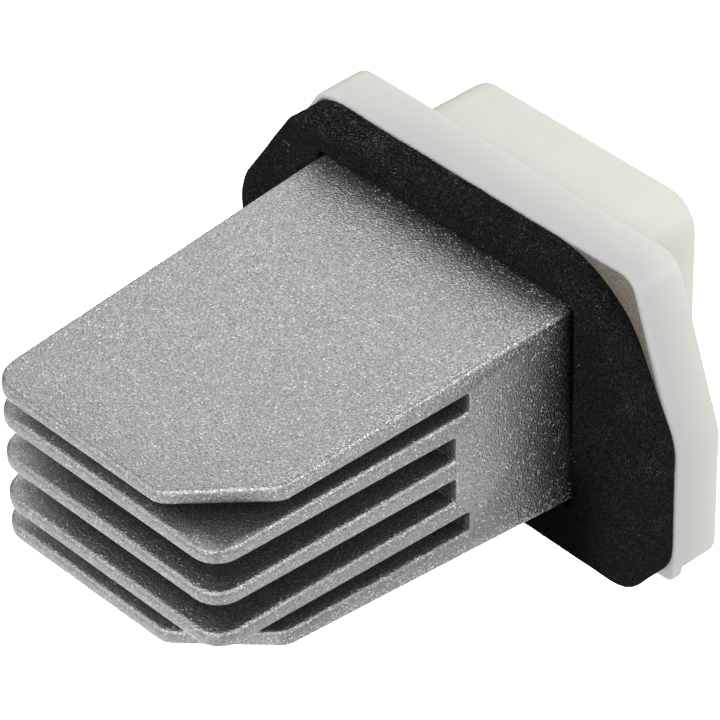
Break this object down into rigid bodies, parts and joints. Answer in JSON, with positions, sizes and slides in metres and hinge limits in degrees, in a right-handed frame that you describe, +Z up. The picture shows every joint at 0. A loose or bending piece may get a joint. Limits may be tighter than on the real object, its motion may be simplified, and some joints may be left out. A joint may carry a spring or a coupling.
{
  "type": "blower motor resistor",
  "caption": "Car heater fan control unit: finned cast aluminium heat sink, black foam gasket, white flange and a cream cover with a recessed connector socket.",
  "frame": {"origin": "middle of the heat sink's root in the plane of the gasket's sealing face, where the unit seats on the air duct", "axes": "+Y from the fins towards the connector, +Z up across the fins, +X along the flange towards the chamfered fin corners"},
  "size_m": [0.0667, 0.0733, 0.0391],
  "materials": {
    "sink_metal": "shot-blasted die casting",
    "foam": "closed-cell foam, dusty",
    "film": "adhesive film",
    "white_nylon": "satin moulding, slightly translucent",
    "cream_nylon": "satin moulding, natural colour, slightly translucent",
    "laminate": "coated board",
    "blade_metal": "tinned",
    "lead_metal": "tinned",
    "tab_metal": "plated",
    "screw_steel": "zinc plated",
    "black_moulding": "moulded case",
    "pad_rubber": "silicone pad",
    "can_sleeve": "sleeve",
    "chip_body": "film on ceramic",
    "capacitor_body": "sintered ceramic"
  },
  "bodies": {
    "root": {"heat_sink": "sink_metal", "foam_gasket": "foam", "adhesive_film": "film", "flange_housing": "white_nylon", "connector_cover": "cream_nylon", "circuit_board": "laminate", "power_terminal_left": "blade_metal", "power_terminal_right": "blade_metal", "signal_terminal": "blade_metal", "insulating_pad": "pad_rubber", "transistor_tab": "tab_metal", "transistor_case": "black_moulding", "transistor_lead_left": "lead_metal", "transistor_lead_middle": "lead_metal", "transistor_lead_right": "lead_metal", "transistor_screw": "screw_steel", "housing_screw_left": "screw_steel", "housing_screw_right": "screw_steel", "capacitor_can": "can_sleeve", "amplifier_chip": "black_moulding", "gate_resistor": "chip_body", "feedback_resistor": "chip_body", "input_resistor": "chip_body", "divider_resistor": "chip_body", "filter_capacitor": "capacitor_body", "supply_capacitor": "capacitor_body", "surge_diode": "black_moulding"}
  },
  "joints": []
}
